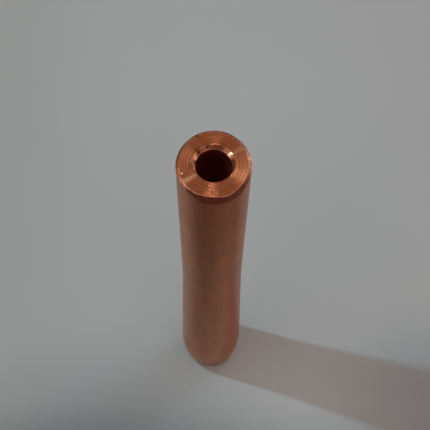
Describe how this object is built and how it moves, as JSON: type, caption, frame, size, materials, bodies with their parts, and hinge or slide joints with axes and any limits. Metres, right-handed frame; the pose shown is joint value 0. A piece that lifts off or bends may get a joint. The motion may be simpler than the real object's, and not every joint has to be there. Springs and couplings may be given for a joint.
{
  "type": "submerged arc contact tip",
  "caption": "Turned copper contact tip for submerged arc welding: a slim waisted barrel with a flat chamfered head, a rounded foot and a wire bore from end to end.",
  "frame": {"origin": "middle of the foot ring that the tip stands on", "axes": "+Z along the wire bore, from the foot up to the flat head"},
  "size_m": [0.0094, 0.0094, 0.07],
  "materials": {
    "copper": "turned copper, satin, with fine lathe lines on the end faces"
  },
  "bodies": {
    "root": {"contact_tip": "copper"}
  },
  "joints": []
}
